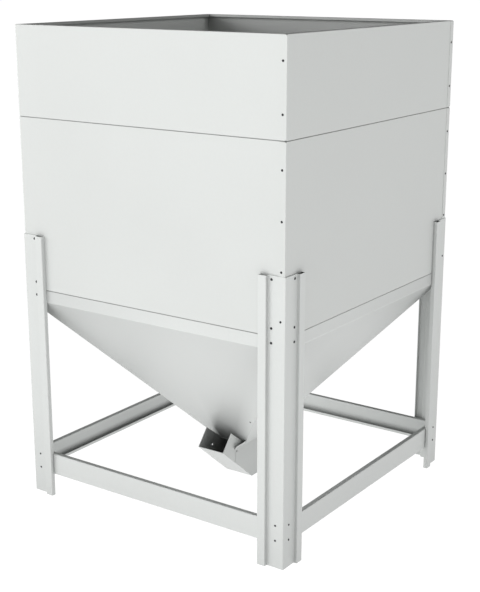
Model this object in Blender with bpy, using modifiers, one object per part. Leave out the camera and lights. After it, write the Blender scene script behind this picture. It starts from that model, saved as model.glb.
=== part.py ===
import bpy
import bmesh
from math import radians
from mathutils import Matrix, Vector

for item in list(bpy.data.objects):
    bpy.data.objects.remove(item, do_unlink=True)

# Driving dimensions in metres. The origin is on the floor, under the middle of the body.
half_width = 0.600
body_top = 1.862
upper_seam = 1.523
lower_seam = 0.857
hopper_rise = 0.0957
hopper_slope = 1.189
wall_sheet = 0.0015
frame_sheet = 0.002
joint_gap = 0.0003
edge_flange = 0.025
wrap_flange = 0.025
rim_lip = 0.010
corner_notch = 0.003
corner_clearance = 0.0015
wall_fold = 0.002
frame_fold = 0.003
fold_segments = 3

# Legs: a flush corner strip, then a step out to a raised flange whose lip returns to the wall.
leg_top = 1.071
leg_flush = 0.070
leg_step = 0.013
leg_raised = 0.0345

# Packing strips: they fill the space under each leg wing that has no wrapped flange beneath it.
packing_foot = 0.830
packing_inset = 0.002
packing_clearance = 0.0035

# Braces between the feet, lipped channels that pass through a slot in each leg's lip.
brace_foot = 0.0905
brace_top = 0.178
brace_flange = 0.020
brace_lip = 0.012
brace_end = 0.590
brace_flange_end = 0.574
brace_relief = 0.004

# Outlet trough, as (y, z) points of its side view.
trough_half = 0.062
throat_half = trough_half + joint_gap + wall_sheet
mouth_foot = (-0.215, 0.181)
mouth_top = (-0.157, 0.2467)
wall_seat_y = -0.078
trough_low = (-0.013, 0.012)
trough_rear = 0.066
trough_floor = 0.0125
clamp_hole = (-0.121, 0.160)
clamp_hole_radius = 0.0045
clamp_hole_facets = 16

# Side plates: each hopper side runs on down past the trough, with a wing ahead of the hip.
plate_front = -0.130
wing_knee = 0.165
wing_nose = (-0.146, 0.1938)
wing_round = 0.011
wing_bend = (-0.112, 0.1938)
wing_top = 0.199
wing_round_steps = 6

# Working values: slots, how far cutters reach past what they cut, when points count as one,
# and the angles from which an edge is folded or drawn sharp.
slot_size = 0.012
slot_clearance = 0.003
cutter_reach = 0.020
match = 0.00001
fold_angle = radians(20)
sharp_angle = radians(31)
quarter_turn = radians(90)

sides = ("front", "right", "back", "left")
corners = ("front_right", "back_right", "back_left", "front_left")

parts = bpy.data.collections.new("pellet_silo")
cutters = bpy.data.collections.new("cutters")
bpy.context.scene.collection.children.link(parts)
bpy.context.scene.collection.children.link(cutters)


def make_coat(name, colour, roughness, metallic):
    material = bpy.data.materials.new(name)
    material.use_nodes = True
    shader = material.node_tree.nodes["Principled BSDF"]
    shader.inputs["Base Color"].default_value = (*colour, 1.0)
    shader.inputs["Roughness"].default_value = roughness
    shader.inputs["Metallic"].default_value = metallic
    return material


wall_coat = make_coat("wall_coat", (0.80, 0.82, 0.80), 0.45, 0.0)
hopper_coat = make_coat("hopper_coat", (0.76, 0.78, 0.76), 0.45, 0.0)
frame_coat = make_coat("frame_coat", (0.78, 0.80, 0.79), 0.40, 0.0)
outlet_coat = make_coat("outlet_coat", (0.72, 0.74, 0.73), 0.40, 0.0)


def add_object(name, mesh, collection):
    result = bpy.data.objects.new(name, mesh)
    collection.objects.link(result)
    return result


def read_mesh(source, name):
    """Mesh of an object with its modifiers, in world space, and the object removed."""
    bpy.context.view_layer.update()
    depsgraph = bpy.context.evaluated_depsgraph_get()
    mesh = bpy.data.meshes.new_from_object(source.evaluated_get(depsgraph))
    mesh.transform(source.matrix_world)
    mesh.name = name
    shape = bmesh.new()
    shape.from_mesh(mesh)
    bmesh.ops.remove_doubles(shape, verts=shape.verts, dist=match)
    shape.to_mesh(mesh)
    shape.free()
    bpy.data.objects.remove(source, do_unlink=True)
    return mesh


def fold_sheet(surface, name, thickness, radius):
    """Turn an outer surface into sheet of the given thickness with rounded folds."""
    mesh = bpy.data.meshes.new(name)
    surface.to_mesh(mesh)
    surface.free()
    piece = add_object(name, mesh, parts)
    folds = piece.modifiers.new("folds", "BEVEL")
    folds.limit_method = "ANGLE"
    folds.angle_limit = fold_angle
    folds.width = radius
    folds.segments = fold_segments
    sheet = piece.modifiers.new("sheet", "SOLIDIFY")
    sheet.thickness = thickness
    sheet.offset = -1.0
    sheet.use_even_offset = True
    return piece


def finish_mesh(mesh, material):
    mesh.materials.clear()
    mesh.materials.append(material)
    mesh.shade_smooth()
    mesh.set_sharp_from_angle(angle=sharp_angle)


def place_ring(mesh, prefix, names, material):
    """Four copies of a piece made for the front, a quarter turn apart."""
    finish_mesh(mesh, material)
    for turn, name in enumerate(names):
        piece = add_object(f"{prefix}_{name}", mesh, parts)
        piece.rotation_euler.z = quarter_turn * turn


def face_grid(surface, xs, zs, y):
    """Flat grid of faces in a plane of constant y, with its normals to the front."""
    grid = bmesh.ops.create_grid(surface, x_segments=len(xs) - 1, y_segments=len(zs) - 1, size=1.0)
    for vert in grid["verts"]:
        column = round((vert.co.x + 1.0) / 2.0 * (len(xs) - 1))
        row = round((vert.co.y + 1.0) / 2.0 * (len(zs) - 1))
        vert.co = (xs[column], y, zs[row])


def drop_cells(surface, cells, xs, zs):
    """Cut the named cells of a grid out, as notches at the ends of the folds."""
    faces = []
    for column, row in cells:
        centre = Vector(((xs[column] + xs[column + 1]) / 2, 0.0, (zs[row] + zs[row + 1]) / 2))
        for face in surface.faces:
            middle = face.calc_center_median()
            if abs(middle.x - centre.x) < match and abs(middle.z - centre.z) < match:
                faces.append(face)
    bmesh.ops.delete(surface, geom=faces, context="FACES")


def fold_edges(surface, chosen, move):
    """Extrude the chosen edges into a flange and move its far vertices."""
    edges = [edge for edge in surface.edges if all(chosen(vert.co) for vert in edge.verts)]
    made = bmesh.ops.extrude_edge_only(surface, edges=edges)["geom"]
    for vert in made:
        if isinstance(vert, bmesh.types.BMVert):
            vert.co = move(vert.co)


def wall_mesh(name, foot, top, lip):
    """Wall sheet for the front: flanges turned in above and below, one flange round the left corner."""
    left = -half_width - wall_sheet - joint_gap
    right = half_width - wall_sheet - corner_clearance
    low = foot + joint_gap / 2
    high = top - joint_gap / 2
    inner = -half_width + edge_flange
    xs = (left, left + corner_notch, right - corner_notch, right)
    zs = (low, low + corner_notch, high - corner_notch, high)
    surface = bmesh.new()
    face_grid(surface, xs, zs, -half_width)
    drop_cells(surface, ((0, 0), (0, 2), (2, 0), (2, 2)), xs, zs)

    def flange_point(co):
        reach = half_width - edge_flange - corner_notch / 2
        return Vector((reach if co.x > 0 else -reach, inner, co.z))

    for level in (low, high):
        fold_edges(surface, lambda co: abs(co.z - level) < match, flange_point)
    fold_edges(
        surface,
        lambda co: abs(co.x - left) < match,
        lambda co: Vector((co.x, co.y + wrap_flange, co.z)),
    )
    if lip:
        fold_edges(
            surface,
            lambda co: abs(co.y - inner) < match and abs(co.z - high) < match,
            lambda co: Vector((co.x, co.y, co.z - lip)),
        )
    return read_mesh(fold_sheet(surface, name, wall_sheet, wall_fold), name)


def hopper_line(y):
    """Height of the hopper's outer surface over a place on the front axis."""
    return hopper_rise + hopper_slope * abs(y)


def hide_cutter(cutter):
    cutter.hide_render = True
    cutter.display_type = "WIRE"
    return cutter


def add_boolean(piece, cutter, operation):
    boolean = piece.modifiers.new(operation.lower(), "BOOLEAN")
    boolean.operation = operation
    boolean.object = cutter


def quarter_wedge(turn, foot):
    """Cutter that keeps one quarter of the body above a height, between its two diagonals."""
    reach = 2 * half_width
    outline = ((0.0, -joint_gap), (-reach, -reach - joint_gap), (reach, -reach - joint_gap))
    wedge = bmesh.new()
    corners_low = [wedge.verts.new((x, y, foot)) for x, y in outline]
    base = wedge.faces.new(corners_low)
    made = bmesh.ops.extrude_face_region(wedge, geom=[base])["geom"]
    raised = [item for item in made if isinstance(item, bmesh.types.BMVert)]
    bmesh.ops.translate(wedge, verts=raised, vec=(0.0, 0.0, body_top - foot))
    bmesh.ops.recalc_face_normals(wedge, faces=wedge.faces)
    mesh = bpy.data.meshes.new("quarter_wedge")
    wedge.to_mesh(mesh)
    wedge.free()
    cutter = add_object("quarter_wedge", mesh, cutters)
    cutter.rotation_euler.z = quarter_turn * turn
    return hide_cutter(cutter)


def strip_surface(points, start, end, axis):
    """Strip through (u, v) points, drawn out along one axis from start to end."""
    surface = bmesh.new()

    def place(point, along):
        u, v = point
        return Vector((along, u, v)) if axis == "x" else Vector((u, v, along))

    low = [surface.verts.new(place(point, start)) for point in points]
    edges = [surface.edges.new(pair) for pair in zip(low, low[1:])]
    made = bmesh.ops.extrude_edge_only(surface, edges=edges)["geom"]
    shift = place((0.0, 0.0), end) - place((0.0, 0.0), start)
    bmesh.ops.translate(surface, verts=[v for v in made if isinstance(v, bmesh.types.BMVert)], vec=shift)
    return surface


def face_outward(surface, sample, direction):
    """Give the whole strip one winding, so that the face nearest the sample looks the given way."""
    surface.normal_update()
    nearest = min(surface.faces, key=lambda face: (face.calc_center_median() - sample).length)
    if nearest.normal.dot(direction) < 0:
        bmesh.ops.reverse_faces(surface, faces=surface.faces)


def round_corner(before, corner, after, size):
    """Points that round a corner of an outline, starting and ending at a distance from it."""
    before, corner, after = Vector(before), Vector(corner), Vector(after)
    start = corner + (before - corner).normalized() * size
    end = corner + (after - corner).normalized() * size
    points = []
    for step in range(wing_round_steps + 1):
        share = step / wing_round_steps
        near = start.lerp(corner, share)
        points.append(tuple(near.lerp(corner.lerp(end, share), share)))
    return points


def side_plate_outline():
    """Side view of a side plate: along the trough's floor, up its front, round the wing to the hip."""
    foot, bend = trough_outline(0.0, 0.0)[:2]
    share = (plate_front - foot[0]) / (bend[0] - foot[0])
    front_foot = foot[1] + share * (bend[1] - foot[1])
    knee = (plate_front, wing_knee)
    fold_top = hopper_line(throat_half) - 2 * joint_gap
    hip_top = (-(wing_top - hopper_rise) / hopper_slope - 2 * joint_gap, wing_top)
    hip_foot = (-throat_half - 2 * joint_gap, hopper_line(throat_half))
    return [
        (plate_front, front_foot),
        knee,
        *round_corner(knee, wing_nose, wing_bend, wing_round),
        wing_bend,
        hip_top,
        hip_foot,
        (hip_foot[0], fold_top),
        (trough_rear, fold_top),
        (trough_rear, trough_floor),
        bend,
    ]


def side_plate_cutter(side):
    """Cutter that keeps one side plate and its wing, on the left (-1) or the right (1)."""
    ends = sorted((side * (throat_half - cutter_reach), side * (throat_half + 2 * cutter_reach)))
    mesh = plate_mesh("side_plate", side_plate_outline(), *ends)
    return hide_cutter(add_object("side_plate", mesh, cutters))


def hopper_piece(side, turn):
    """One side of the hopper: flange, upright skirt and long slope, mitred at both hips."""
    name = f"hopper_{side}"
    top = lower_seam - joint_gap / 2
    skirt_foot = hopper_line(half_width)
    points = [
        (-half_width + edge_flange, top),
        (-half_width, top),
        (-half_width, skirt_foot),
        (-throat_half, hopper_line(throat_half)),
    ]
    wedge_foot = hopper_line(throat_half) - cutter_reach
    wedge = quarter_wedge(turn, wedge_foot)
    plate = {"left": -1, "right": 1}.get(side)
    if plate:
        points.append((-throat_half, 0.0))
        add_boolean(wedge, side_plate_cutter(plate), "UNION")
    surface = strip_surface(points, -half_width - cutter_reach, half_width + cutter_reach, "x")
    face_outward(surface, Vector((0.0, -half_width, skirt_foot)), Vector((0.0, -1.0, 0.0)))
    piece = fold_sheet(surface, name, wall_sheet, wall_fold)
    piece.rotation_euler.z = quarter_turn * turn
    add_boolean(piece, wedge, "INTERSECT")
    if plate:
        add_boolean(piece, bpy.data.objects["clamp_hole"], "DIFFERENCE")
    mesh = read_mesh(piece, name)
    finish_mesh(mesh, hopper_coat)
    add_object(name, mesh, parts)


def lip_slot(x, y):
    """Cutter for the slot that lets a brace pass behind a leg's lip, at one place."""
    surface = bmesh.new()
    bmesh.ops.create_cube(surface, size=1.0)
    height = brace_top - brace_foot + 2 * joint_gap
    bmesh.ops.scale(surface, verts=surface.verts, vec=(slot_size, slot_size, height))
    bmesh.ops.translate(surface, verts=surface.verts, vec=(x, y, (brace_top + brace_foot) / 2))
    mesh = bpy.data.meshes.new("lip_slot")
    surface.to_mesh(mesh)
    surface.free()
    return hide_cutter(add_object("lip_slot", mesh, cutters))


def leg_mesh():
    """Folded corner post at the front right, standing on the floor."""
    inner = half_width + wall_sheet + 2 * joint_gap
    face = inner + frame_sheet
    raised = face + leg_step
    lip = half_width + joint_gap
    flush_end = face - leg_flush
    raised_end = flush_end - leg_raised
    wing = (
        (raised_end, lip),
        (raised_end, raised),
        (flush_end, raised),
        (flush_end, face),
    )
    front = [(along, -out) for along, out in wing]
    right = [(out, -along) for along, out in reversed(wing)]
    surface = strip_surface(front + [(face, -face)] + right, 0.0, leg_top, "z")
    face_outward(surface, Vector((face - leg_flush / 2, -face, leg_top / 2)), Vector((0.0, -1.0, 0.0)))
    piece = fold_sheet(surface, "leg", frame_sheet, frame_fold)
    place = inner + slot_clearance - slot_size / 2
    add_boolean(piece, lip_slot(raised_end, -place), "DIFFERENCE")
    add_boolean(piece, lip_slot(place, -raised_end), "DIFFERENCE")
    return read_mesh(piece, "leg")


def packing_mesh():
    """Strip between the right wall and the wing of the front right leg."""
    low = Vector((half_width + joint_gap, -half_width + packing_inset, packing_foot))
    wing_end = half_width + wall_sheet + 2 * joint_gap + frame_sheet - leg_flush
    high = Vector((low.x + wall_sheet, -wing_end - packing_clearance, leg_top))
    strip = bmesh.new()
    bmesh.ops.create_cube(strip, size=1.0)
    bmesh.ops.scale(strip, verts=strip.verts, vec=high - low)
    bmesh.ops.translate(strip, verts=strip.verts, vec=(low + high) / 2)
    mesh = bpy.data.meshes.new("packing")
    strip.to_mesh(mesh)
    strip.free()
    return mesh


def brace_mesh():
    """Front brace: upright web behind the leg wings, both flanges turned in and lipped."""
    web = -half_width - wall_sheet - joint_gap
    xs = (
        -brace_end, -brace_flange_end - brace_relief, -brace_flange_end,
        brace_flange_end, brace_flange_end + brace_relief, brace_end,
    )
    zs = (brace_foot, brace_foot + 2 * brace_relief, brace_top - 2 * brace_relief, brace_top)
    surface = bmesh.new()
    face_grid(surface, xs, zs, web)
    drop_cells(surface, ((1, 0), (1, 2), (3, 0), (3, 2)), xs, zs)
    for level, lip in ((brace_foot, brace_lip), (brace_top, -brace_lip)):
        fold_edges(
            surface,
            lambda co: abs(co.z - level) < match and abs(co.x) < brace_flange_end + match,
            lambda co: Vector((co.x, co.y + brace_flange, co.z)),
        )
        fold_edges(
            surface,
            lambda co: abs(co.z - level) < match and abs(co.y - web - brace_flange) < match,
            lambda co: Vector((co.x, co.y, co.z + lip)),
        )
    return read_mesh(fold_sheet(surface, "brace", frame_sheet, frame_fold), "brace")


def plate_mesh(name, outline, start, end):
    """Flat plate from a (y, z) outline, between two places along x."""
    curve = bpy.data.curves.new(name, "CURVE")
    curve.dimensions = "2D"
    curve.fill_mode = "BOTH"
    curve.extrude = (end - start) / 2
    spline = curve.splines.new("POLY")
    spline.points.add(len(outline) - 1)
    for point, (y, z) in zip(spline.points, outline):
        point.co = (y, z, 0.0, 1.0)
    spline.use_cyclic_u = True
    piece = add_object(name, curve, parts)
    piece.matrix_world = Matrix((
        (0.0, 0.0, 1.0, (start + end) / 2),
        (1.0, 0.0, 0.0, 0.0),
        (0.0, 1.0, 0.0, 0.0),
        (0.0, 0.0, 0.0, 1.0),
    ))
    return read_mesh(piece, name)


def clamp_cutter():
    """Cross hole for the clamp bolt, through the trough's walls and the side plates."""
    bpy.ops.mesh.primitive_cylinder_add(
        vertices=clamp_hole_facets,
        radius=clamp_hole_radius,
        depth=4 * throat_half,
        location=(0.0, *clamp_hole),
        rotation=(0.0, quarter_turn, 0.0),
    )
    cutter = bpy.context.object
    cutter.name = "clamp_hole"
    for owner in list(cutter.users_collection):
        owner.objects.unlink(cutter)
    cutters.objects.link(cutter)
    hide_cutter(cutter)


def trough_outline(inset, reach):
    """Side view of the trough, or of its inside when inset and drawn past its openings."""
    foot_point, floor_point = Vector(mouth_foot), Vector(trough_low)
    along = (floor_point - foot_point).normalized()
    across = Vector((-along.y, along.x))
    rise = (Vector(mouth_top) - foot_point).dot(across)
    foot = foot_point - along * reach + across * inset
    crest = foot_point - along * reach + across * (rise + reach)
    level = trough_floor + inset
    bend = foot + along * ((level - foot.y) / along.y)
    top = hopper_line(throat_half) - 2 * joint_gap + reach
    seat = (wall_seat_y, hopper_line(wall_seat_y) - 2 * joint_gap + reach)
    rear = trough_rear + reach
    return [tuple(foot), tuple(bend), (rear, level), (rear, top), (-throat_half, top), seat, tuple(crest)]


def trough_piece():
    """Inclined trough under the throat: floor and two walls, open at the mouth, top and rear."""
    outside = plate_mesh("outlet_trough", trough_outline(0.0, 0.0), -trough_half, trough_half)
    piece = add_object("outlet_trough", outside, parts)
    inner = trough_half - frame_sheet
    inside = plate_mesh("trough_inside", trough_outline(frame_sheet, cutter_reach), -inner, inner)
    add_boolean(piece, hide_cutter(add_object("trough_inside", inside, cutters)), "DIFFERENCE")
    add_boolean(piece, bpy.data.objects["clamp_hole"], "DIFFERENCE")
    mesh = read_mesh(piece, "outlet_trough")
    finish_mesh(mesh, outlet_coat)
    add_object("outlet_trough", mesh, parts)


def back_piece():
    """Plate that closes the rear of the trough."""
    front = trough_rear + joint_gap
    top = hopper_line(front) - 2 * joint_gap
    outline = (
        (front, trough_floor),
        (front + frame_sheet, trough_floor),
        (front + frame_sheet, top),
        (front, top),
    )
    mesh = plate_mesh("outlet_back", outline, -throat_half, throat_half)
    finish_mesh(mesh, outlet_coat)
    add_object("outlet_back", mesh, parts)


place_ring(wall_mesh("band", upper_seam, body_top, rim_lip), "band", sides, wall_coat)
place_ring(wall_mesh("panel", lower_seam, upper_seam, 0.0), "panel", sides, wall_coat)
clamp_cutter()
for turn, side in enumerate(sides):
    hopper_piece(side, turn)
place_ring(leg_mesh(), "leg", corners, frame_coat)
place_ring(packing_mesh(), "packing", corners, frame_coat)
place_ring(brace_mesh(), "brace", sides, frame_coat)
trough_piece()
back_piece()
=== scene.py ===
from math import cos, pi, radians, sin

import bpy
from mathutils import Matrix, Vector


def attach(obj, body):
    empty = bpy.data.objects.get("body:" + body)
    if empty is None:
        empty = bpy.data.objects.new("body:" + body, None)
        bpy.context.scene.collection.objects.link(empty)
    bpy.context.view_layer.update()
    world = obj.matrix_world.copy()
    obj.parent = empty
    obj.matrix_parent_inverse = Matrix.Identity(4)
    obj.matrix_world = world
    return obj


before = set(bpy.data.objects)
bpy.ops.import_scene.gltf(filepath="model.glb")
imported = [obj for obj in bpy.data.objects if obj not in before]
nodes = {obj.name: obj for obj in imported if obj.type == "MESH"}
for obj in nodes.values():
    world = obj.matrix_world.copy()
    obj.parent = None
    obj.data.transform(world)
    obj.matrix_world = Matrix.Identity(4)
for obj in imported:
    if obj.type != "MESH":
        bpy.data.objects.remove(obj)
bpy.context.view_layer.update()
print("frame loaded:", len(nodes), "sheet metal parts")

# lines of the CAD model that several pieces go by, in metres

silo = {
    "wallFace": 0.6018,  # where a screw head sits on the wall, from the middle
    "legFace": 0.6041,  # and on a leg
    "upperSeam": 1.523,  # between band and panel
    "lowerSeam": 0.857,  # between panel and hopper
    "slopeRise": 0.0957,  # the hopper's outer face is at rise + slope * distance from the middle
    "slope": 1.189,
}

# camera, from where the photograph was taken

cameraView = {
    "place": (2.69451, -3.84440, 2.06601),  # metres
    "azimuth": 35.0816,  # degrees from the front towards the right
    "elevation": 15.334,  # degrees above the floor
    "roll": -0.0315,
    "lens": 73.036,  # millimetres
    "sensor": 36.0,
}


def addObject(name, data):
    item = bpy.data.objects.new(name, data)
    bpy.context.scene.collection.objects.link(item)
    return item


def direction(azimuth, elevation):  # from the middle of the floor, angles in degrees
    turn, lift = radians(azimuth), radians(elevation)
    return Vector((sin(turn) * cos(lift), -cos(turn) * cos(lift), sin(lift)))


def makeCamera(view):
    back = direction(view["azimuth"], view["elevation"])
    right = Vector((cos(radians(view["azimuth"])), sin(radians(view["azimuth"])), 0.0))
    turn = Matrix((right, back.cross(right), back)).transposed().to_4x4()
    roll = Matrix.Rotation(radians(view["roll"]), 4, "Z")
    data = bpy.data.cameras.new("siloCamera")
    data.lens = view["lens"]
    data.sensor_width = view["sensor"]
    camera = addObject("siloCamera", data)
    camera.matrix_world = Matrix.Translation(view["place"]) @ turn @ roll
    bpy.context.scene.camera = camera


makeCamera(cameraView)
bpy.context.scene.view_settings.view_transform = "Standard"  # keeps the white coat white
print("camera placed")

# shorthand for node trees


def feed(tree, socket, value):  # links another node's socket, or sets a plain value
    if isinstance(value, bpy.types.NodeSocket):
        tree.links.new(value, socket)
    else:
        socket.default_value = value


def fillInputs(tree, node, values):
    for name, value in values.items():
        feed(tree, node.inputs[name], value)


def addNode(tree, kind, inputs=None, **settings):
    node = tree.nodes.new(kind)
    for name, value in settings.items():
        setattr(node, name, value)
    fillInputs(tree, node, inputs or {})
    return node


def maths(tree, operation, *values):
    node = addNode(tree, "ShaderNodeMath", operation=operation)
    for socket, value in zip(node.inputs, values):
        feed(tree, socket, value)
    return node.outputs["Value"]


def product(tree, factors):
    result = factors[0]
    for factor in factors[1:]:
        result = maths(tree, "MULTIPLY", result, factor)
    return result


def ramp(tree, value, start, end, low=0.0, high=1.0):
    return addNode(tree, "ShaderNodeMapRange", {
        "Value": value, "From Min": start, "From Max": end, "To Min": low, "To Max": high,
    }).outputs["Result"]


def between(tree, value, low, high, fade):  # 1 from low to high, fading to 0 outside
    distance = maths(tree, "ABSOLUTE", maths(tree, "SUBTRACT", value, (low + high) / 2))
    return ramp(tree, distance, (high - low) / 2, (high - low) / 2 + fade, 1.0, 0.0)


def noise(tree, place, scale, detail, roughness=0.5):
    return addNode(tree, "ShaderNodeTexNoise", {
        "Vector": place, "Scale": scale, "Detail": detail, "Roughness": roughness,
    }).outputs["Fac"]


def tinted(tree, colour, level):
    return addNode(tree, "ShaderNodeVectorMath", {
        "Vector": colour, "Scale": level,
    }, operation="SCALE").outputs["Vector"]


def splitAxes(tree, vector):
    return addNode(tree, "ShaderNodeSeparateXYZ", {"Vector": vector}).outputs


def layOut(tree, width=220, height=190):  # in columns, from what is read to what is made
    column = {node.name: 0 for node in tree.nodes}
    moved = True
    while moved:
        moved = False
        for link in tree.links:
            after = column[link.from_node.name] + 1
            if column[link.to_node.name] < after:
                column[link.to_node.name] = after
                moved = True
    filled = {}
    for node in tree.nodes:
        place = column[node.name]
        node.location = (place * width, -filled.get(place, 0) * height)
        filled[place] = filled.get(place, 0) + 1


def newMaterial(name):
    material = bpy.data.materials.new(name)
    material.use_nodes = True
    tree = material.node_tree
    return material, tree, tree.nodes["Principled BSDF"]


# studio: bright round the horizon, dim overhead, low soft lamps and a white floor that glows
# more in front and on the right, further out

studio = {
    "horizon": 0.9,
    "overhead": 0.0,
    "falloff": 4.0,  # how fast the sky dims above the horizon
    "floorHalf": 100.0,  # metres
    "floorDrop": 0.0005,  # the feet stand just clear of it
    "floorColour": (0.08, 0.08, 0.08),
    "floorRoughness": 0.9,
    "floorGlow": 1.0,
    "frontGlow": 0.74,  # added in front, and on the right
    "rightGlow": 0.38,
    "glowFrom": (0.6, 1.9),  # metres from the middle
    "lamps": {  # azimuth, elevation, power, softness in degrees
        "leftLamp": (-60.0, 12.0, 0.57, 25.0),
        "keyLamp": (-40.0, 12.0, 0.78, 25.0),
        "frontLamp": (-11.0, 12.0, 0.37, 30.0),
        "sideLamp": (90.0, 20.0, 0.43, 25.0),
    },
    "lampDistance": 6.0,  # only for show, a sun lamp shines alike from anywhere
}


def makeSky(values):
    world = bpy.data.worlds.new("studioSky")
    world.use_nodes = True
    tree = world.node_tree
    axes = splitAxes(tree, addNode(tree, "ShaderNodeTexCoord").outputs["Generated"])
    level = maths(tree, "SUBTRACT", 1.0, maths(tree, "ABSOLUTE", axes["Z"]))
    dimmed = maths(tree, "POWER", level, values["falloff"])
    fillInputs(tree, tree.nodes["Background"], {
        "Color": (1.0, 1.0, 1.0, 1.0),
        "Strength": ramp(tree, dimmed, 0.0, 1.0, values["overhead"], values["horizon"]),
    })
    layOut(tree)
    bpy.context.scene.world = world


def makeFloorFinish(values):
    material, tree, shader = newMaterial("studioFloor")
    place = addNode(tree, "ShaderNodeTexCoord").outputs["Object"]
    reach = addNode(tree, "ShaderNodeVectorMath", {"Vector": place}, operation="LENGTH")
    heading = addNode(tree, "ShaderNodeVectorMath", {"Vector": place}, operation="NORMALIZE")
    axes = splitAxes(tree, heading.outputs["Vector"])
    front = maths(tree, "MAXIMUM", maths(tree, "MULTIPLY", axes["Y"], -1.0), 0.0)
    right = maths(tree, "MAXIMUM", axes["X"], 0.0)
    gain = product(tree, [front, front, values["frontGlow"]])
    gain = maths(tree, "MULTIPLY_ADD", product(tree, [right, right]), values["rightGlow"], gain)
    outer = ramp(tree, reach.outputs["Value"], *values["glowFrom"])
    fillInputs(tree, shader, {
        "Base Color": (*values["floorColour"], 1.0),
        "Roughness": values["floorRoughness"],
        "Specular IOR Level": 0.0,
        "Emission Color": (1.0, 1.0, 1.0, 1.0),
        "Emission Strength": maths(tree, "MULTIPLY_ADD", gain, outer, values["floorGlow"]),
    })
    layOut(tree)
    return material


def makeFloor(values):
    half = values["floorHalf"]
    corners = [(-half, -half, 0), (half, -half, 0), (half, half, 0), (-half, half, 0)]
    mesh = bpy.data.meshes.new("studioFloor")
    mesh.from_pydata(corners, [], [(0, 1, 2, 3)])
    mesh.materials.append(makeFloorFinish(values))
    floor = addObject("studioFloor", mesh)
    floor.location.z = -values["floorDrop"]


def makeLamp(name, distance, azimuth, elevation, power, softness):
    data = bpy.data.lights.new(name, "SUN")
    data.energy = power
    data.angle = radians(softness)
    lamp = addObject(name, data)
    towards = direction(azimuth, elevation)
    lamp.location = towards * distance
    lamp.rotation_euler = towards.to_track_quat("Z", "Y").to_euler()


makeSky(studio)
makeFloor(studio)
for lampName, lampValues in studio["lamps"].items():
    makeLamp(lampName, studio["lampDistance"], *lampValues)
print("studio lit")

# powder coat, one for each group of CAD nodes

# all five are one white powder coat; their colours differ a little as painted light and shade, the
# braces lightest and the walls darkest
coat = {
    "wall": {
        "nodes": ("band_", "panel_"),
        "colour": (0.574, 0.590, 0.577), "roughness": 0.42, "wave": 0.0012,
        "shades": ("seam", "innerBack", "innerLeft", "legRim", "flangeEdge"),
    },
    "hopper": {
        "nodes": ("hopper_",),
        "colour": (0.590, 0.606, 0.595), "roughness": 0.44, "wave": 0.0010,
        "shades": ("seam", "underRim", "mouthShadow", "plateEdge", "faraway"),
    },
    "frame": {
        "nodes": ("leg_", "packing_"),
        "colour": (0.592, 0.609, 0.597), "roughness": 0.40, "wave": 0.0004,
        "shades": ("wingBack", "flank", "legEnd", "lipContact"),
    },
    "brace": {
        "nodes": ("brace_",),
        "colour": (0.610, 0.627, 0.615), "roughness": 0.40, "wave": 0.0004,
        "shades": ("trough", "flangeTop"),
    },
    "outlet": {
        "nodes": ("outlet_",),
        "colour": (0.600, 0.615, 0.604), "roughness": 0.44, "wave": 0.0003,
        "shades": ("chute",),
    },
}

# the coat's grain: faint clouds and specks in the tone, slightly wavy sheet, a fine orange peel

coatGrain = {
    "cloud": (2.2, 3.0, 0.5),  # scale, detail and roughness of each noise
    "speck": (85.0, 4.0, 0.65),
    "sway": (3.4, 1.0, 0.4),
    "peel": (620.0, 2.0, 0.5),
    "noiseSpan": (0.3, 0.7),  # nearly all of a noise lies in it
    "cloudTone": (0.985, 1.015),
    "speckTone": (0.992, 1.008),
    "gloss": (-0.04, 0.06),  # added to the roughness, with the clouds
    "peelDepth": 0.0002,  # metres
    "peelStrength": 0.25,
}

# tones that some places add to the coat, all painted light and shade: painted shade under 1 in
# seams, hollows, channels, corners, on the hopper and round the mouth, painted light over 1 on
# edges and strips.
# bands are (from, to, fade), rises and falls (from, to), all in metres along X, Y and Z, or
# wide and deep: X and Y without their sign, out: the larger of these, along: the smaller

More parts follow.
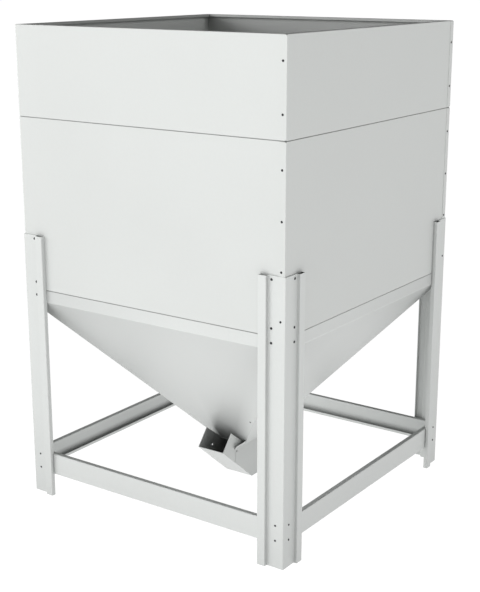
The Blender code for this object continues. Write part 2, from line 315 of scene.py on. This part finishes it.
shade = {
    # painted shade along the two seams between sheets
    "seam": {
        "half": 0.0012, "fade": 0.0010, "right": (0.598, 0.599), "rightShare": 0.55, "tone": 0.55,
    },
    # painted shade on the inside of the back wall
    "innerBack": {"bands": {"Y": (0.5978, 0.5992, 0.0002)}, "tone": 0.87},
    # painted light on the inside of the left wall
    "innerLeft": {"bands": {"X": (-0.5992, -0.5978, 0.0002)}, "tone": 1.28},
    "legRim": {  # painted light on the wall just above a leg, against the shadow there
        "bands": {"along": (0.5345, 0.6030, 0.0005), "Z": (1.0714, 1.0750, 0.0006)}, "tone": 1.12,
    },
    # painted light on the corner flanges' edges, against their shadow line
    "flangeEdge": {
        "bands": {"out": (0.6004, 0.6016, 0.0001), "along": (0.5730, 0.5780, 0.0003)}, "tone": 1.35,
    },
    # painted shade where the leg lips meet the side walls
    "lipContact": {
        "bands": {
            "wide": (0.5980, 0.6040, 0.0030), "deep": (0.4985, 0.5025, 0.0003),
            "Z": (0.80, 1.072, 0.005),
        },
        "tone": 0.66,
    },
    # painted shade in the hollow behind each leg wing
    "wingBack": {
        "bands": {
            "out": (0.5998, 0.6152, 0.0003), "along": (0.5014, 0.5337, 0.0003),
            "Z": (0.86, 1.0712, 0.0003),
        },
        "tone": 0.35,
    },
    # painted shade on the step faces of the leg wings
    "flank": {
        "bands": {"out": (0.6048, 0.6164, 0.0003), "along": (0.5328, 0.5354, 0.0003)}, "tone": 0.86,
    },
    # painted light on the legs' top ends, against their shade
    "legEnd": {"bands": {"Z": (1.0706, 1.0716, 0.0002)}, "tone": 1.4},
    # painted shade inside the braces' channels, darker towards the bottom
    "trough": {
        "bands": {"out": (0.5832, 0.6008, 0.0003)}, "falls": {"Z": (0.103, 0.128)}, "tone": 0.58,
    },
    # painted shade on the braces' top flanges
    "flangeTop": {
        "bands": {"out": (0.580, 0.6019, 0.0002), "Z": (0.1774, 0.1784, 0.0002)}, "tone": 0.84,
    },
    # painted light on the side plates' front edges, against their shadow
    "plateEdge": {
        "bands": {"Y": (-0.1304, -0.1296, 0.0003), "wide": (0.0636, 0.0664, 0.0002)}, "tone": 1.5,
    },
    # painted shade on the hopper's slope, darker towards its top
    "underRim": {"rises": {"Z": (0.35, 0.80)}, "falls": {"Z": (0.806, 0.810)}, "tone": 0.79},
    "chute": {  # painted shade inside the trough
        "foot": (-0.215, 0.181),  # Y and Z of a point on its floor
        "slope": -0.8366,
        "above": (0.0008, 0.0014),  # over the floor
        "falls": {"wide": (0.0604, 0.0608), "Z": (0.262, 0.266)},
        "tone": 0.60,
    },
    "mouthShadow": {  # a painted shadow above the mouth, leaning to the right as it rises
        "from": 0.235,  # the height from which it leans right and thins
        "left": -0.056, "leftFade": 0.010, "leftDrift": 0.20, "leftSpread": 0.60,
        "right": (0.120, 0.055), "rightDrift": 0.70,
        "thinning": 8.0,
        "depth": (0.0016, 0.0026),  # off the front slope's face, so the side plates stay free of the painted shadow
        "rises": {"Z": (0.178, 0.179)},
        "tone": 0.45,
    },
    # painted shade on the hopper, darker away from the front right corner
    "faraway": {"corner": (0.6, -0.6), "reach": (0.45, 1.10), "tone": 0.88},
}


def readAxes(tree, place):
    split = splitAxes(tree, place)
    axes = {axis: split[axis] for axis in "XYZ"}
    axes["wide"], axes["deep"] = (maths(tree, "ABSOLUTE", split[axis]) for axis in "XY")
    axes["out"] = maths(tree, "MAXIMUM", axes["wide"], axes["deep"])
    axes["along"] = maths(tree, "MINIMUM", axes["wide"], axes["deep"])
    return axes


def limits(tree, axes, values):
    bands, rises, falls = (values.get(kind, {}).items() for kind in ("bands", "rises", "falls"))
    masks = [between(tree, axes[axis], *band) for axis, band in bands]
    masks += [ramp(tree, axes[axis], *span) for axis, span in rises]
    masks += [ramp(tree, axes[axis], *span, 1.0, 0.0) for axis, span in falls]
    return masks


def plainMask(tree, axes, values):
    return product(tree, limits(tree, axes, values))


def seamMask(tree, axes, values):  # painted shade in the seams; the lower seam's is fainter on the right wall
    half, fade = values["half"], values["fade"]
    upper, lower = (
        between(tree, axes["Z"], level - half, level + half, fade)
        for level in (silo["upperSeam"], silo["lowerSeam"])
    )
    fainter = ramp(tree, axes["X"], *values["right"], 1.0, values["rightShare"])
    return maths(tree, "MULTIPLY_ADD", lower, fainter, upper)


def chuteMask(tree, axes, values):
    forward, level = values["foot"]
    slope = values["slope"]
    floorLine = maths(tree, "MULTIPLY_ADD", axes["Y"], slope, level - slope * forward)
    inside = ramp(tree, maths(tree, "SUBTRACT", axes["Z"], floorLine), *values["above"])
    return product(tree, [inside, *limits(tree, axes, values)])


# painted shadow above the outlet's mouth
def mouthShadowMask(tree, axes, values):
    risen = maths(tree, "MAXIMUM", maths(tree, "SUBTRACT", axes["Z"], values["from"]), 0.0)
    sideways = maths(tree, "SUBTRACT", axes["X"], values["left"])
    fromLeft = maths(tree, "MULTIPLY_ADD", risen, -values["leftDrift"], sideways)
    leftWidth = maths(tree, "MULTIPLY_ADD", risen, values["leftSpread"], values["leftFade"])
    fromRight = maths(tree, "MULTIPLY_ADD", risen, -values["rightDrift"], axes["X"])
    slopeLine = maths(tree, "MULTIPLY_ADD", axes["Y"], silo["slope"], axes["Z"])
    depth = maths(tree, "ABSOLUTE", maths(tree, "SUBTRACT", slopeLine, silo["slopeRise"]))
    return product(tree, [
        maths(tree, "EXPONENT", maths(tree, "MULTIPLY", risen, -values["thinning"])),
        ramp(tree, maths(tree, "DIVIDE", fromLeft, leftWidth), 0.0, 1.0),
        ramp(tree, fromRight, *values["right"]),
        ramp(tree, depth, *values["depth"], 1.0, 0.0),
        *limits(tree, axes, values),
    ])


def farawayMask(tree, axes, values):  # painted shade, darker away from the front right corner
    wide, deep = (
        maths(tree, "SUBTRACT", axes[axis], corner) for axis, corner in zip("XY", values["corner"])
    )
    square = maths(tree, "MULTIPLY_ADD", wide, wide, maths(tree, "MULTIPLY", deep, deep))
    return ramp(tree, maths(tree, "SQRT", square), *values["reach"])


ownMasks = {"seam": seamMask, "chute": chuteMask, "mouthShadow": mouthShadowMask, "faraway": farawayMask}


def coatLevel(tree, place, cloud, shades):
    span = coatGrain["noiseSpan"]
    speck = noise(tree, place, *coatGrain["speck"])
    axes = readAxes(tree, place)
    levels = [
        ramp(tree, cloud, *span, *coatGrain["cloudTone"]),
        ramp(tree, speck, *span, *coatGrain["speckTone"]),
    ]
    for kind in shades:
        mask = ownMasks.get(kind, plainMask)(tree, axes, shade[kind])
        levels.append(ramp(tree, mask, 0.0, 1.0, 1.0, shade[kind]["tone"]))
    return product(tree, levels)


def coatSurface(tree, place, waveDepth):
    wave = addNode(tree, "ShaderNodeBump", {
        "Height": noise(tree, place, *coatGrain["sway"]), "Strength": 1.0, "Distance": waveDepth,
    })
    peel = addNode(tree, "ShaderNodeBump", {
        "Height": noise(tree, place, *coatGrain["peel"]), "Normal": wave.outputs["Normal"],
        "Strength": coatGrain["peelStrength"], "Distance": coatGrain["peelDepth"],
    })
    return peel.outputs["Normal"]


def makeCoat(name, values):
    material, tree, shader = newMaterial(name)
    place = addNode(tree, "ShaderNodeTexCoord").outputs["Object"]
    cloud = noise(tree, place, *coatGrain["cloud"])
    level = coatLevel(tree, place, cloud, values["shades"])
    rough = [values["roughness"] + change for change in coatGrain["gloss"]]
    fillInputs(tree, shader, {
        "Base Color": tinted(tree, values["colour"], level),
        "Roughness": ramp(tree, cloud, *coatGrain["noiseSpan"], *rough),
        "Normal": coatSurface(tree, place, values["wave"]),
    })
    layOut(tree)
    return material


def dressNodes(prefixes, material):
    for name, node in nodes.items():
        if name.startswith(prefixes):
            node.data.materials.clear()
            node.data.materials.append(material)


coatFinish = {}
for coatName, coatValues in coat.items():
    coatFinish[coatName] = makeCoat(coatName + "Coat", coatValues)
    dressNodes(coatValues["nodes"], coatFinish[coatName])
print("powder coat on")

# blackened zinc of the screws, bolts and nuts

darkZinc = {
    "colour": (0.032, 0.032, 0.035),
    "tone": (0.8, 1.25),
    "metallic": 0.7,
    "roughness": (0.30, 0.50),
    "grain": (900.0, 2.0),  # scale and detail
}


def makeDarkZinc(values):
    material, tree, shader = newMaterial("darkZinc")
    grain = noise(tree, addNode(tree, "ShaderNodeTexCoord").outputs["Object"], *values["grain"])
    fillInputs(tree, shader, {
        "Base Color": tinted(tree, values["colour"], ramp(tree, grain, 0.0, 1.0, *values["tone"])),
        "Metallic": values["metallic"],
        "Roughness": ramp(tree, grain, 0.0, 1.0, *values["roughness"]),
    })
    layOut(tree)
    return material


zincFinish = makeDarkZinc(darkZinc)

# shape trees: inputs for the sizes and the finish, then real faces with that finish


def newShapeTree(name, sockets):
    tree = bpy.data.node_groups.new(name, "GeometryNodeTree")
    tree.interface.new_socket("Geometry", in_out="INPUT", socket_type="NodeSocketGeometry")
    for label, kind in sockets.items():
        tree.interface.new_socket(label, in_out="INPUT", socket_type=kind)
    tree.interface.new_socket("Finish", in_out="INPUT", socket_type="NodeSocketMaterial")
    tree.interface.new_socket("Geometry", in_out="OUTPUT", socket_type="NodeSocketGeometry")
    return tree, addNode(tree, "NodeGroupInput").outputs


def closeShapeTree(tree, given, shape):
    real = addNode(tree, "GeometryNodeRealizeInstances", {"Geometry": shape})
    paint = addNode(tree, "GeometryNodeSetMaterial", {
        "Geometry": real.outputs["Geometry"], "Material": given["Finish"],
    })
    addNode(tree, "NodeGroupOutput", {"Geometry": paint.outputs["Geometry"]})
    layOut(tree)


def applyShapeTree(piece, tree, values, finish, sharpAngle=35):
    modifier = piece.modifiers.new(tree.name, "NODES")
    modifier.node_group = tree
    wanted = dict(values, Finish=finish)
    for item in tree.interface.items_tree:
        if item.item_type == "SOCKET" and item.in_out == "INPUT" and item.name in wanted:
            modifier[item.identifier] = wanted[item.name]
    bpy.context.view_layer.update()
    ready = piece.evaluated_get(bpy.context.evaluated_depsgraph_get())
    mesh = bpy.data.meshes.new_from_object(ready)
    piece.modifiers.clear()
    piece.data = mesh
    mesh.shade_smooth()
    mesh.set_sharp_from_angle(angle=radians(sharpAngle))
    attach(piece, "root")
    print(piece.name, "made,", len(mesh.polygons), "faces")


# button-head screws with a hex socket, one on each point, their heads along "outward"

screwShape = {
    "domeSegments": 20,
    "domeRings": 12,
    "roundSides": 12,
    "hexSides": 6,
    "underside": (2.0, 2.0, -1.1),  # cutter's radius, depth and middle, in head radii and heights
    "socketMiddle": 0.9,  # in head heights
    "doublesWithin": 0.00001,  # metres
}


def addCylinder(tree, sides, radius, depth, middle):
    cylinder = addNode(tree, "GeometryNodeMeshCylinder", {
        "Vertices": sides, "Radius": radius, "Depth": depth,
    })
    offset = addNode(tree, "ShaderNodeCombineXYZ", {"Z": middle})
    return addNode(tree, "GeometryNodeTransform", {
        "Geometry": cylinder.outputs["Mesh"], "Translation": offset.outputs["Vector"],
    }).outputs["Geometry"]


def addScrewHead(tree, given, shape):
    ball = addNode(tree, "GeometryNodeMeshUVSphere", {
        "Segments": shape["domeSegments"], "Rings": shape["domeRings"], "Radius": 1.0,
    })
    domeSize = addNode(tree, "ShaderNodeCombineXYZ", {
        "X": given["Head radius"], "Y": given["Head radius"], "Z": given["Head height"],
    })
    dome = addNode(tree, "GeometryNodeTransform", {
        "Geometry": ball.outputs["Mesh"], "Scale": domeSize.outputs["Vector"],
    })
    wide, deep, middle = (
        maths(tree, "MULTIPLY", given[size], share)
        for size, share in zip(("Head radius", "Head height", "Head height"), shape["underside"])
    )
    below = addCylinder(tree, shape["roundSides"], wide, deep, middle)
    socket = addCylinder(
        tree, shape["hexSides"], given["Socket radius"], given["Head height"],
        maths(tree, "MULTIPLY", given["Head height"], shape["socketMiddle"]),
    )
    cut = addNode(tree, "GeometryNodeMeshBoolean", operation="DIFFERENCE", solver="EXACT")
    tree.links.new(dome.outputs["Geometry"], cut.inputs["Mesh 1"])
    for cutter in (socket, below):
        tree.links.new(cutter, cut.inputs["Mesh 2"])
    return addNode(tree, "GeometryNodeMergeByDistance", {
        "Geometry": cut.outputs["Mesh"], "Distance": shape["doublesWithin"],
    }).outputs["Geometry"]


def addScrewTurn(tree, given):  # along "outward", and by chance about its own axis
    outward = addNode(tree, "GeometryNodeInputNamedAttribute", {
        "Name": "outward",
    }, data_type="FLOAT_VECTOR")
    align = addNode(tree, "FunctionNodeAlignRotationToVector", {
        "Vector": outward.outputs["Attribute"],
    }, axis="Z")
    spin = addNode(tree, "FunctionNodeRandomValue", {"Seed": given["Seed"]}, data_type="FLOAT")
    spin.inputs[3].default_value = 2 * pi  # the upper end of the float range
    spinTurn = addNode(tree, "FunctionNodeAxisAngleToRotation", {"Angle": spin.outputs[1]})
    return addNode(tree, "FunctionNodeRotateRotation", {
        "Rotation": align.outputs["Rotation"], "Rotate By": spinTurn.outputs["Rotation"],
    }, rotation_space="LOCAL").outputs["Rotation"]


def buildScrewTree(shape):
    number = "NodeSocketFloat"
    tree, given = newShapeTree("screwRow", {
        "Head radius": number, "Head height": number, "Socket radius": number,
        "Shank radius": number, "Shank length": number,
        "Nut radius": number, "Nut height": number, "Nut depth": number,
        "Seed": "NodeSocketInt",
    })
    head = addScrewHead(tree, given, shape)
    shank = addCylinder(
        tree, shape["roundSides"], given["Shank radius"], given["Shank length"],
        maths(tree, "MULTIPLY", given["Shank length"], -0.5),
    )
    nut = addCylinder(
        tree, shape["hexSides"], given["Nut radius"], given["Nut height"],
        maths(tree, "MULTIPLY", given["Nut depth"], -1.0),
    )
    screw = addNode(tree, "GeometryNodeJoinGeometry")
    for part in (head, shank, nut):
        tree.links.new(part, screw.inputs["Geometry"])
    spread = addNode(tree, "GeometryNodeInstanceOnPoints", {
        "Points": given["Geometry"], "Instance": screw.outputs["Geometry"],
        "Rotation": addScrewTurn(tree, given),
    })
    forget = addNode(tree, "GeometryNodeRemoveAttribute", {
        "Geometry": spread.outputs["Instances"], "Name": "outward",
    })
    closeShapeTree(tree, given, forget.outputs["Geometry"])
    return tree


screwTree = buildScrewTree(screwShape)
facing = {"front": (0, -1, 0), "right": (1, 0, 0), "up": (0, 0, 1)}
quarterTurns = [Matrix.Rotation(turn * pi / 2, 3, "Z") for turn in range(4)]


def onFourSides(places):  # the same spots on all four sides, each with the way it faces
    return [
        (turn @ Vector(spot), turn @ Vector(way)) for turn in quarterTurns for spot, way in places
    ]


def makeScrews(name, rows, sizes):
    mesh = bpy.data.meshes.new(name)
    mesh.from_pydata([tuple(spot) for spot, way in rows], [], [])
    outward = mesh.attributes.new("outward", "FLOAT_VECTOR", "POINT")
    for item, (spot, way) in zip(outward.data, rows):
        item.vector = way
    applyShapeTree(addObject(name, mesh), screwTree, sizes, zincFinish)


# self-tapping screws down the corner flanges; instead of a nut they end in a thin tip

wallScrew = {
    "sizes": {
        "Head radius": 0.0043, "Head height": 0.0022, "Socket radius": 0.0016,
        "Shank radius": 0.0017, "Shank length": 0.010,
        "Nut radius": 0.0012, "Nut height": 0.003, "Nut depth": 0.0108, "Seed": 3,
    },
    "across": 0.5845,  # from the middle of the side
    "heights": (1.7785, 1.6078, 1.428, 1.257, 1.086),
    "legHeight": 0.9145,  # the lowest one goes through the leg
}


def wallScrewRows(screw):
    spots = [(screw["across"], -silo["wallFace"], height) for height in screw["heights"]]
    spots.append((screw["across"], -silo["legFace"], screw["legHeight"]))
    return onFourSides([(spot, facing["front"]) for spot in spots])


makeScrews("wallScrews", wallScrewRows(wallScrew), wallScrew["sizes"])

# bolts through the legs, three in each wing at the body and two at the brace

legBolt = {
    "sizes": {
        "Head radius": 0.0048, "Head height": 0.0027, "Socket radius": 0.0017,
        "Shank radius": 0.0025, "Shank length": 0.012,
        "Nut radius": 0.0046, "Nut height": 0.0036, "Nut depth": 0.0074, "Seed": 5,
    },
    "across": 0.5475,
    "heights": (1.0575, 0.8865, 0.8345),
}
braceBolt = {
    "sizes": dict(legBolt["sizes"], **{
        "Head radius": 0.0040, "Head height": 0.0024, "Shank length": 0.0105,
        "Nut depth": 0.0061, "Seed": 9,
    }),
    "across": 0.5695,
    "heights": (0.163, 0.105),
}


def legBoltRows(bolt):
    places = []
    for height in bolt["heights"]:
        places.append(((bolt["across"], -silo["legFace"], height), facing["front"]))
        places.append(((silo["legFace"], -bolt["across"], height), facing["right"]))
    return onFourSides(places)


makeScrews("legBolts", legBoltRows(legBolt), legBolt["sizes"])
makeScrews("braceBolts", legBoltRows(braceBolt), braceBolt["sizes"])

# bolts inside the body that clamp band to panel and panel to hopper

seamBolt = {
    "sizes": {
        "Head radius": 0.0055, "Head height": 0.0034, "Socket radius": 0.0024,
        "Shank radius": 0.0030, "Shank length": 0.011,
        "Nut radius": 0.0056, "Nut height": 0.005, "Nut depth": 0.0058, "Seed": 7,
    },
    "flangeMiddle": 0.5875,
    "flangeTop": 0.00165,  # above the seam
    "along": (-0.5, -0.3, -0.1, 0.1, 0.3, 0.5),
}


def seamBoltRows(bolt):
    places = []
    for seam in (silo["upperSeam"], silo["lowerSeam"]):
        for along in bolt["along"]:
            places.append(((along, -bolt["flangeMiddle"], seam + bolt["flangeTop"]), facing["up"]))
    return onFourSides(places)


makeScrews("seamBolts", seamBoltRows(seamBolt), seamBolt["sizes"])

# the single screw in the hopper's front slope

plugScrew = {
    "sizes": dict(wallScrew["sizes"], **{
        "Head radius": 0.0034, "Head height": 0.0018, "Socket radius": 0.0015, "Seed": 11,
    }),
    "across": 0.188,
    "forward": 0.206,
}


def plugScrewRows(screw):
    height = silo["slopeRise"] + silo["slope"] * screw["forward"]
    way = Vector((0, -silo["slope"], -1)).normalized()
    return [(Vector((screw["across"], -screw["forward"], height)), way)]


makeScrews("plugScrew", plugScrewRows(plugScrew), plugScrew["sizes"])

# weld beads inside the hopper, up its four hips

hipWeld = {
    "sizes": {"Bead radius": 0.0024, "Ripple": 0.14, "Ripple pitch": 0.007},
    "ringSides": 8,
    "stepShare": 0.34,  # of the ripple's pitch
    "sharpAngle": 60,
    "foot": 0.178,
    "knee": 0.8055,  # the slope ends there and the upright skirt starts
    "top": 0.850,
    "inset": 0.0028,  # the bead's middle, inside the corner
}


def buildWeldTree(weld):
    number = "NodeSocketFloat"
    tree, given = newShapeTree("weldBead", {
        "Bead radius": number, "Ripple": number, "Ripple pitch": number,
    })
    path = addNode(tree, "GeometryNodeMeshToCurve", {"Mesh": given["Geometry"]})
    step = addNode(tree, "GeometryNodeResampleCurve", {
        "Curve": path.outputs["Curve"],
        "Length": maths(tree, "MULTIPLY", given["Ripple pitch"], weld["stepShare"]),
    }, mode="LENGTH")
    along = addNode(tree, "GeometryNodeSplineParameter").outputs["Length"]
    wave = maths(tree, "MULTIPLY", maths(tree, "DIVIDE", along, given["Ripple pitch"]), 2 * pi)
    swell = maths(tree, "MULTIPLY_ADD", maths(tree, "SINE", wave), given["Ripple"], 1.0)
    ring = addNode(tree, "GeometryNodeCurvePrimitiveCircle", {
        "Resolution": weld["ringSides"], "Radius": 1.0,
    })
    sweep = addNode(tree, "GeometryNodeCurveToMesh", {
        "Curve": step.outputs["Curve"], "Profile Curve": ring.outputs["Curve"],
        "Scale": maths(tree, "MULTIPLY", swell, given["Bead radius"]), "Fill Caps": True,
    })
    closeShapeTree(tree, given, sweep.outputs["Mesh"])
    return tree


def hipLines(weld):
    line = []
    for height in (weld["foot"], weld["knee"], weld["top"]):
        reach = (min(height, weld["knee"]) - silo["slopeRise"]) / silo["slope"] - weld["inset"]
        line.append(Vector((reach, -reach, height)))
    return [[turn @ spot for spot in line] for turn in quarterTurns]


def makeBeads(name, lines, weld, finish):
    points, edges = [], []
    for line in lines:
        first = len(points)
        points += [tuple(spot) for spot in line]
        edges += [(first + step, first + step + 1) for step in range(len(line) - 1)]
    mesh = bpy.data.meshes.new(name)
    mesh.from_pydata(points, edges, [])
    piece = addObject(name, mesh)
    applyShapeTree(piece, buildWeldTree(weld), weld["sizes"], finish, weld["sharpAngle"])


makeBeads("hipWelds", hipLines(hipWeld), hipWeld, coatFinish["hopper"])

print("screws, bolts and welds made")
